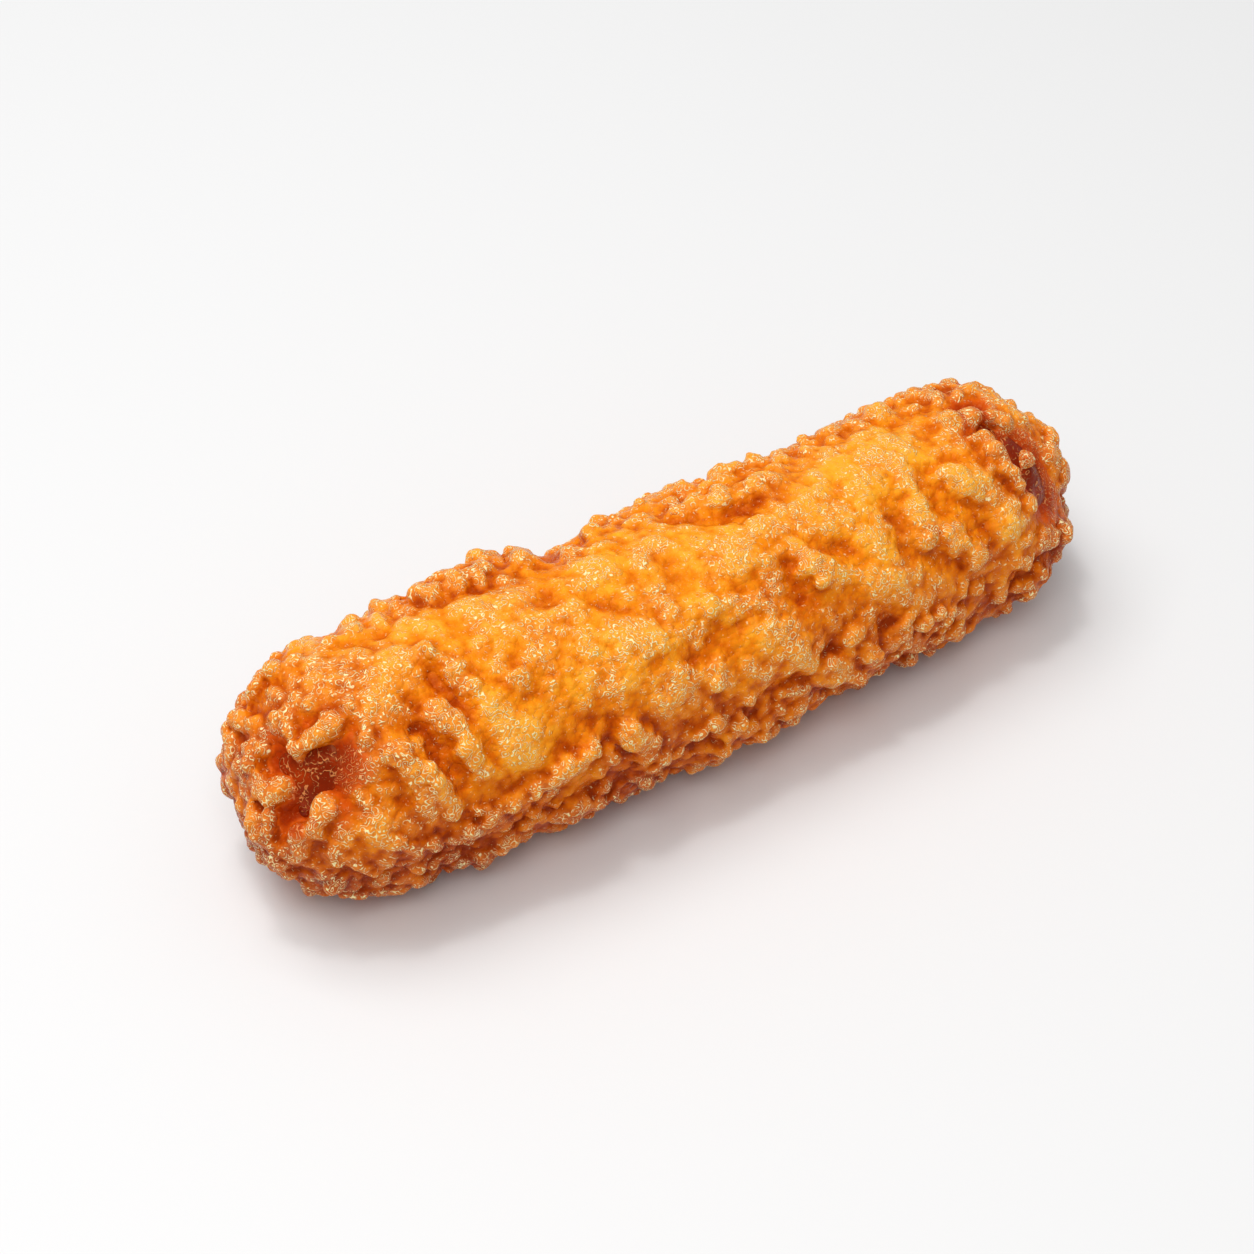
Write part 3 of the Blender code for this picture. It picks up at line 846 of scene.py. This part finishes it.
def batter_finish(colours):
    """Fried batter: amber, orange in the creases as painted shade, red-brown below, partly as painted shade,
    and red-brown at the ends, with fine curls of painted highlight and painted shade in the gaps beside them,
    and the casing's red where it thins out."""
    finish = Finish("fried_batter")
    place = finish.node("ShaderNodeTexCoord", {}, "Object")
    brown = finish.attribute("browning")
    thin = finish.attribute("thinness")
    speckle = finish.noise(place, SPECKLE_CELL, 3.0) - 0.5
    cloud = finish.noise(place, CLOUD_CELL) - 0.5
    # Where the painted highlights gather: the crowns, made uneven by soft clouds.
    crown = finish.ramp(finish.attribute("crown") + cloud * CROWN_CLOUDS, *CROWN_RANGE)
    curls, gaps, bubbles = curls_of(finish, place, crown, thin)
    # The batter's tone: the fry colour with painted shade in creases, hollows and below, and painted shade in
    # the gaps beside the curls.
    batter = finish.tone(
        brown + speckle * SPECKLE_BROWN + cloud * CLOUD_BROWN + gaps * GAP_PAINTED_SHADE,
        (0.0, colours.pale),
        (0.28, colours.gold),
        (0.56, colours.orange),
        (0.82, colours.brown),
        (1.0, colours.dark),
    )
    skin = skin_of(finish, thin + cloud * 0.5, colours)
    coloured = finish.blend(finish.ramp(thin + cloud * 0.3, *CASING_EDGE), batter, skin)
    bare = finish.ramp(thin, *BARE_RANGE)
    # Painted highlights: the curls and a faint painted sheen on the crowns, mixed towards a pale cream, or
    # towards pink-orange on the bare patches, where they are duller.
    light = finish.blend(bare, (*colours.painted_highlight, 1.0), (*colours.casing_painted_highlight, 1.0))
    shine = (curls * CURL_STRENGTH + crown * CROWN_PAINTED_SHEEN) * (1.0 - bare * BARE_DULLING)
    finish.set(
        Base_Color=finish.blend(shine, coloured, light),
        Roughness=0.25 + speckle * 0.2,
        Normal=finish.relief(bubbles * bubbles * -0.25 + curls * 0.1 + speckle * 0.3),
        Specular_IOR_Level=0.1,
        Specular_Tint=(1.0, 0.7, 0.3, 1.0),
        Subsurface_Weight=0.15,
        Subsurface_Radius=(1.0, 0.35, 0.05),
        Subsurface_Scale=1.0 * MM,
        Coat_Weight=0.0,
        Metallic=0.0,
    )
    return finish.material


def casing_finish(colours):
    """Cooked casing: orange-red to dark red, mottled, finely wrinkled and shiny with fat, with fine curls of
    painted highlight.
    """
    finish = Finish("casing")
    place = finish.node("ShaderNodeTexCoord", {}, "Object")
    mottle = finish.noise(place, MOTTLE_CELL, 4.0)
    plenty = finish.ramp(mottle, 0.3, 0.6)
    curls = curls_of(finish, place, plenty, 1.0, CASING_TURNS)[0]
    skin = skin_of(finish, finish.attribute("thinness") + (0.6 - mottle) * 1.2, colours)
    finish.set(
        # Painted highlights: the curls mixed halfway towards the casing's highlight colour.
        Base_Color=finish.blend(curls * 0.5, skin, (*colours.casing_painted_highlight, 1.0)),
        Roughness=0.14 + mottle * 0.15,
        Normal=finish.relief(curls * 0.25 + mottle * 0.6),
        Specular_IOR_Level=0.25,
        Specular_Tint=(1.0, 0.5, 0.2, 1.0),
        Subsurface_Weight=0.15,
        Subsurface_Radius=(1.0, 0.3, 0.1),
        Subsurface_Scale=1.0 * MM,
        Coat_Weight=0.0,
        Metallic=0.0,
    )
    return finish.material


# --------------------------------------------------------------------------------------------------
# Pieces


def nub_seats(coat):
    """Share, angle, radius and sink of the small nubs: strewn at random, kept where the coat is rough."""
    rng = np.random.default_rng(SEED + 20)
    share = rng.uniform(-1, 1, NUB_TRIES)
    angle = rng.uniform(-math.pi, math.pi, NUB_TRIES)
    radius = rng.uniform(*NUB_RADIUS, NUB_TRIES)
    places = roll_skin(share, angle, *coat)[0]
    rough = roughness(places[:, 0], angle)
    kept = rng.uniform(NUB_LEAST_DRAW, 1.0, NUB_TRIES) < rough**NUB_BIAS
    covered = thinness(places, coat) < NUB_FREE_THINNESS
    sink = np.interp(rough, (LEAST_ROUGHNESS, 1), NUB_SINK)
    return np.stack([share, angle, radius, sink], axis=1)[kept & covered][:NUB_COUNT]


def centres_of(seats, coat):
    """The middle of the ball at each seat: sunk into the raised coat by its share of the radius, but lifted
    where the coat thins out, so that crags overhang the bare patches."""
    share, angle, radius, sink = seats.T
    points, normals = roll_skin(share, angle, *coat)
    height = coat_rise(points, angle, coat) + CRAG_LIFT * thinness(points, coat) - sink * radius
    return points + height[:, None] * normals


def on_lumps(points, seats, coat):
    """1 on the ball of any seat, falling to 0 a little way off it."""
    most = np.zeros(len(points))
    for centre, radius in zip(centres_of(seats, coat), seats[:, 2]):
        gap = np.linalg.norm(points - centre, axis=1)
        most = np.maximum(most, ease(gap, LUMP_HALO * radius, radius))
    return most


def lumps(seats, grid, coat, wobble_size):
    """Uneven balls seated in the coat: for every seat a unit ball's points, each drawn in or out by noise."""
    count, rings = grid
    radius = seats[:, 2]
    centres = centres_of(seats, coat)
    ball = ball_grid(count, rings)
    own_place = ball[None] + WOBBLE_APART * np.arange(len(seats))[:, None, None]
    wobble = soft_noise(own_place.reshape(-1, 3), WOBBLE_CELL, SEED + 4).reshape(len(seats), -1)
    reach = radius[:, None] * (1 + wobble_size * wobble)
    places = centres[:, None] + ball[None] * reach[..., None]
    step = np.arange(len(seats))[:, None, None] * len(ball)
    quads, triangles = (faces[None] + step for faces in closed_grid(count, rings))
    return places.reshape(-1, 3), quads.reshape(-1, 4), triangles.reshape(-1, 3)


def join_arrays(parts):
    """One set of points, quads and triangles from several."""
    points, quads, triangles, before = [], [], [], 0
    for some_points, some_quads, some_triangles in parts:
        points.append(some_points)
        quads.append(some_quads + before)
        triangles.append(some_triangles + before)
        before += len(some_points)
    return np.concatenate(points), np.concatenate(quads), np.concatenate(triangles)


def make_coat(sizes, colours):
    """The coat: a raised roll, crags and nubs melted into one skin, beaded, hollowed and open at the
    patches."""
    coat = (sizes.coat_length, sizes.coat_radius)
    core = roll_grid(*CORE_GRID, *coat, lambda points, angle: coat_rise(points, angle, coat))
    crag_places, nub_places = crag_seats(coat), nub_seats(coat)
    crags = lumps(crag_places, CRAG_GRID, coat, CRAG_WOBBLE)
    nubs = lumps(nub_places, NUB_GRID, coat, NUB_WOBBLE)
    joined = join_arrays([(core, *closed_grid(*CORE_GRID)), crags, nubs])
    made = new_object("batter_coat", mesh_of("batter_coat", *joined))
    melt = made.modifiers.new("melt", "REMESH")
    melt.mode = "VOXEL"
    melt.voxel_size = sizes.melt_cell
    apply_modifiers(made)

    points = points_of(made.data)
    rough = roughness(points[:, 0], angle_round(points))
    soft = np.interp(rough, (LEAST_ROUGHNESS, 1), SOFTNESS)[:, None]
    points += soft * (smoothed(points, edges_of(made.data), SOFT_ROUNDS) - points)
    move_points(made.data, points)
    normals = normals_of(made.data)
    beads = sum(
        height * (knobbles(points, cell, SEED + 40 + n) - BEAD_BASE)
        for n, (cell, height) in enumerate(zip(BEAD_CELLS, BEAD_HEIGHTS))
    )
    share = (BEAD_SMOOTH_SHARE + (1 - BEAD_SMOOTH_SHARE) * rough) * (1 - thinness(points, coat))
    move_points(made.data, points + (beads * share)[:, None] * normals)

    fewer = made.modifiers.new("fewer", "DECIMATE")
    fewer.ratio = min(1.0, MOST_TRIANGLES / (2 * len(made.data.polygons)))
    inside = (sizes.casing_length + 2 * CLEARANCE, sizes.casing_radius + CLEARANCE)
    hollow_points = roll_grid(*HOLLOW_GRID, *inside, lambda points, angle: 0.0 * angle)
    hollow = new_object("hollow", mesh_of("hollow", hollow_points, *closed_grid(*HOLLOW_GRID)))
    cut = made.modifiers.new("cut", "BOOLEAN")
    cut.object = hollow
    cut.operation = "DIFFERENCE"
    cut.solver = "MANIFOLD"
    apply_modifiers(made)
    bpy.data.objects.remove(hollow)

    drop_scraps(made.data)
    points = points_of(made.data)
    points[:, 2] = np.maximum(points[:, 2], 0.0)
    move_points(made.data, points)
    paint_browning_shade_and_highlights(made.data, coat, np.concatenate([crag_places, nub_places]))
    made.data.shade_smooth()
    made.data.materials.clear()
    made.data.materials.append(batter_finish(colours))
    return made


def paint_browning_shade_and_highlights(mesh, coat, seats):
    """Browning, crown and thinness of each vertex, 0 to 1. Browning is a weighted sum: more on lumps, where
    the coat is rough or thin and towards the ends; more below, partly as painted shade; more in creases and
    broad hollows, as painted shade;
    less on small crests, as painted light, and on broad pillows; and uneven in soft clouds. Crowns are where
    the painted highlights gather, and lumps cover the thinness."""
    points, normals = points_of(mesh), normals_of(mesh)
    edges = edges_of(mesh)
    near = smoothed(points, edges, SMALL_RELIEF[0])
    wide = smoothed(near, edges, BROAD_RELIEF[0])
    small = np.sum((points - near) * normals, axis=1) / SMALL_RELIEF[1]
    broad = np.clip(np.sum((near - wide) * normals, axis=1) / BROAD_RELIEF[1], -BROAD_MOST, BROAD_MOST)
    lump = on_lumps(points, seats, coat)
    rough = roughness(points[:, 0], angle_round(points))
    cloud = soft_noise(points, BROWN_CLOUD_CELL, SEED + 50)
    ends = ease(np.abs(points[:, 0]), *BROWN_END)
    glow = thinness(points, coat, PATCH_GLOW)
    under = ease(np.abs(angle_round(points)), *BROWN_AND_SHADE_UNDERSIDE)
    thin = thinness(points, coat) * (1 - LUMP_OVER_PATCH * lump)
    brown = (
        BROWN_BASE
        # Painted shade in creases and painted light on small crests.
        + SHADE_IN_CREASES * np.clip(small, -SMALL_MOST, 0)
        + PAINTED_LIGHT_ON_CRESTS * np.clip(small, 0, SMALL_MOST)
        # Paler on broad pillows, their own tone, and darker in broad hollows, as painted shade.
        + PILLOW_TONE_AND_SHADE * broad * (1 - LUMP_OVER_PILLOW * lump)
        + BROWN_LUMPS * lump
        + BROWN_ROUGH * (rough - LEAST_ROUGHNESS)
        + BROWN_CLOUDS * cloud
        + BROWN_ENDS * ends
        + BROWN_PATCHES * glow * (1 - LUMP_OVER_GLOW * lump)
        # Below: partly the browner underside and partly painted shade.
        + BROWN_AND_SHADE_BELOW * under
    )
    crown = (
        CROWN_BASE
        + CROWN_PILLOWS * broad
        + CROWN_CRESTS * np.clip(small, -CREST_MOST, CREST_MOST)
        + CROWN_PATCHES * thin
        + CROWN_BELOW * under
    )
    paint(mesh, "browning", np.clip(brown, 0, 1))
    paint(mesh, "crown", np.clip(crown, 0, 1))
    paint(mesh, "thinness", thin)


def make_casing(sizes, colours):
    """The sausage: a roll with shallow swells, fine wrinkles, and a slight bulge into each bare patch."""
    coat = (sizes.coat_length, sizes.coat_radius)

    def rise(points, angle):
        wrinkles = soft_noise(points * np.array(WRINKLE_STRETCH), WRINKLE_CELL, SEED + 60)
        swell = soft_noise(points, CASING_SWELL_CELL, SEED + 5)
        return CASING_SWELL * swell + BULGE * thinness(points, coat) + WRINKLE * wrinkles

    points = roll_grid(*CASING_GRID, sizes.casing_length, sizes.casing_radius, rise)
    made = new_object("sausage_in_casing", mesh_of("sausage_in_casing", points, *closed_grid(*CASING_GRID)))
    paint(made.data, "thinness", thinness(points, coat))
    made.data.shade_smooth()
    made.data.materials.append(casing_finish(colours))
    return made


def make_stage(stage):
    """A plain pale floor, a soft light from behind on the left, one from the front on the left, a small one
    overhead for glints, a pale sky and the camera."""
    corners = FLOOR_REACH * np.array([[-1.0, -1, 0], [1, -1, 0], [1, 1, 0], [-1, 1, 0]])
    floor = new_object("floor", mesh_of("floor", corners, np.array([[0, 1, 2, 3]]), np.empty((0, 3), int)))
    finish = Finish("pale_floor")
    finish.set(Base_Color=FLOOR_COLOUR, Roughness=FLOOR_ROUGHNESS)
    floor.data.materials.append(finish.material)

    for name, place, size, power in (
        ("key_light", (-0.2, 0.25, 0.9), 0.6, stage.key_power),
        ("front_light", (-0.3, -0.4, 0.9), 0.5, stage.front_power),
        ("spark_light", (-0.12, 0.12, 0.95), 0.12, stage.spark_power),
    ):
        light = bpy.data.lights.new(name, "AREA")
        light.size = size
        light.energy = power
        lamp = bpy.data.objects.new(name, light)
        lamp.location = place
        lamp.rotation_euler = (-Vector(place)).to_track_quat("-Z", "Y").to_euler()
        bpy.context.scene.collection.objects.link(lamp)

    world = bpy.data.worlds.new("pale_sky")
    world.use_nodes = True
    world.node_tree.nodes["Background"].inputs["Color"].default_value = (1, 1, 1, 1)
    world.node_tree.nodes["Background"].inputs["Strength"].default_value = stage.sky_strength
    bpy.context.scene.world = world
    bpy.context.scene.view_settings.view_transform = "Standard"

    azimuth, elevation = math.radians(CAMERA_AZIMUTH), math.radians(CAMERA_ELEVATION)
    level = math.cos(elevation)
    back = Vector((math.sin(azimuth) * level, -math.cos(azimuth) * level, math.sin(elevation)))
    right = Vector((math.cos(azimuth), math.sin(azimuth), 0))
    camera_data = bpy.data.cameras.new("camera")
    camera_data.lens = LENS
    camera_data.sensor_width = SENSOR
    camera = bpy.data.objects.new("camera", camera_data)
    camera.location = (
        Vector((0, 0, AXIS_HEIGHT))
        + back * CAMERA_DISTANCE
        + right * CAMERA_SLIDE[0]
        + back.cross(right) * CAMERA_SLIDE[1]
    )
    camera.rotation_euler = back.to_track_quat("Z", "Y").to_euler()
    bpy.context.scene.collection.objects.link(camera)
    bpy.context.scene.camera = camera


# --------------------------------------------------------------------------------------------------
# The add-on


def length_setting(name, description, default):
    """A length that a user may change."""
    return bpy.props.FloatProperty(
        name=name, description=description, default=default, unit="LENGTH", precision=4
    )


def power_setting(name, description, default):
    """A light's power in watts."""
    return bpy.props.FloatProperty(name=name, description=description, default=default, unit="POWER")


def colour_setting(name, description, default):
    """A colour, in linear light."""
    return bpy.props.FloatVectorProperty(
        name=name, description=description, default=default, subtype="COLOR", min=0.0, max=1.0
    )


class SausageSizes(bpy.types.PropertyGroup):
    coat_length: length_setting("Coat length", "Length of the coat between its crags", 144.2 * MM)
    coat_radius: length_setting("Coat radius", "Radius of the coat between its crags", 18.9 * MM)
    casing_length: length_setting("Sausage length", "Length of the sausage inside", 138.0 * MM)
    casing_radius: length_setting("Sausage radius", "Radius of the sausage inside", 16.3 * MM)
    melt_cell: length_setting("Melt cell", "Cell of the even mesh that melts the crags together", MELT_CELL)


class SausageColours(bpy.types.PropertyGroup):
    pale: colour_setting("Pale", "Crowns of the palest pillows", (0.95, 0.38, 0.02))
    gold: colour_setting("Gold", "Most of the batter", (0.86, 0.25, 0.006))
    orange: colour_setting("Orange", "Soft creases", (0.68, 0.14, 0.002))
    # Deep creases reach this tone partly through painted shade.
    brown: colour_setting("Brown", "Deep creases and ends", (0.46, 0.062, 0.001))
    dark: colour_setting("Dark", "The darkest specks", (0.28, 0.026, 0.001))
    # Painted highlight: the pale cream of the curls of light painted into the batter's colour.
    painted_highlight: colour_setting("Oil", "Fine curls of light", (1.0, 0.84, 0.44))
    casing_light: colour_setting("Light casing", "Palest patches of the casing", (0.64, 0.09, 0.003))
    casing: colour_setting("Casing", "Most of the casing", (0.38, 0.03, 0.001))
    # Painted highlight on the casing: the pink-orange of the curls of light painted on it and on the bare
    # patches of the coat.
    casing_painted_highlight: colour_setting("Casing wrinkles", "Crests of the casing's wrinkles", (1.0, 0.38, 0.12))
    casing_dark: colour_setting("Dark casing", "Darkest patches of the casing", (0.2, 0.012, 0.001))


class SausageStage(bpy.types.PropertyGroup):
    key_power: power_setting("Key light", "Power of the soft light", 4.4)
    front_power: power_setting("Front light", "Power of the front light", 3.4)
    spark_power: power_setting("Spark light", "Power of the small light", 1.2)
    sky_strength: bpy.props.FloatProperty(name="Sky", description="Strength of the pale sky", default=0.44)


class MESH_OT_batter_coat(bpy.types.Operator):
    """Makes the craggy fried coat"""

    bl_idname = "mesh.batter_coat"
    bl_label = "Batter coat"

    def execute(self, context):
        scene = context.scene
        piece = make_coat(scene.sausage_sizes, scene.sausage_colours)
        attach(piece, "root")
        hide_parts("batter")
        return {"FINISHED"}


class MESH_OT_sausage_in_casing(bpy.types.Operator):
    """Makes the sausage inside the coat"""

    bl_idname = "mesh.sausage_in_casing"
    bl_label = "Sausage"

    def execute(self, context):
        scene = context.scene
        piece = make_casing(scene.sausage_sizes, scene.sausage_colours)
        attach(piece, "root")
        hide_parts("sausage")
        return {"FINISHED"}


class SCENE_OT_sausage_stage(bpy.types.Operator):
    """Makes the floor, the lights and the camera"""

    bl_idname = "scene.sausage_stage"
    bl_label = "Stage"

    def execute(self, context):
        make_stage(context.scene.sausage_stage)
        return {"FINISHED"}


class VIEW3D_PT_sausage(bpy.types.Panel):
    bl_label = "Battered sausage"
    bl_idname = "VIEW3D_PT_sausage"
    bl_space_type = "VIEW_3D"
    bl_region_type = "UI"
    bl_category = "Sausage"

    def draw(self, context):
        for group_name in GROUPS:
            group = getattr(context.scene, group_name)
            box = self.layout.box()
            for name in group.__annotations__:
                box.prop(group, name)
        for operator in OPERATORS:
            self.layout.operator(operator)


OPERATORS = ("mesh.batter_coat", "mesh.sausage_in_casing", "scene.sausage_stage")
GROUPS = {"sausage_sizes": SausageSizes, "sausage_colours": SausageColours, "sausage_stage": SausageStage}
CLASSES = (
    *GROUPS.values(),
    MESH_OT_batter_coat,
    MESH_OT_sausage_in_casing,
    SCENE_OT_sausage_stage,
    VIEW3D_PT_sausage,
)


def register():
    for each in CLASSES:
        bpy.utils.register_class(each)
    for name, group in GROUPS.items():
        setattr(bpy.types.Scene, name, bpy.props.PointerProperty(type=group))


def unregister():
    for name in GROUPS:
        delattr(bpy.types.Scene, name)
    for each in reversed(CLASSES):
        bpy.utils.unregister_class(each)


def main():
    register()
    bpy.ops.mesh.batter_coat()
    bpy.ops.mesh.sausage_in_casing()
    bpy.ops.scene.sausage_stage()


if __name__ == "__main__":
    main()
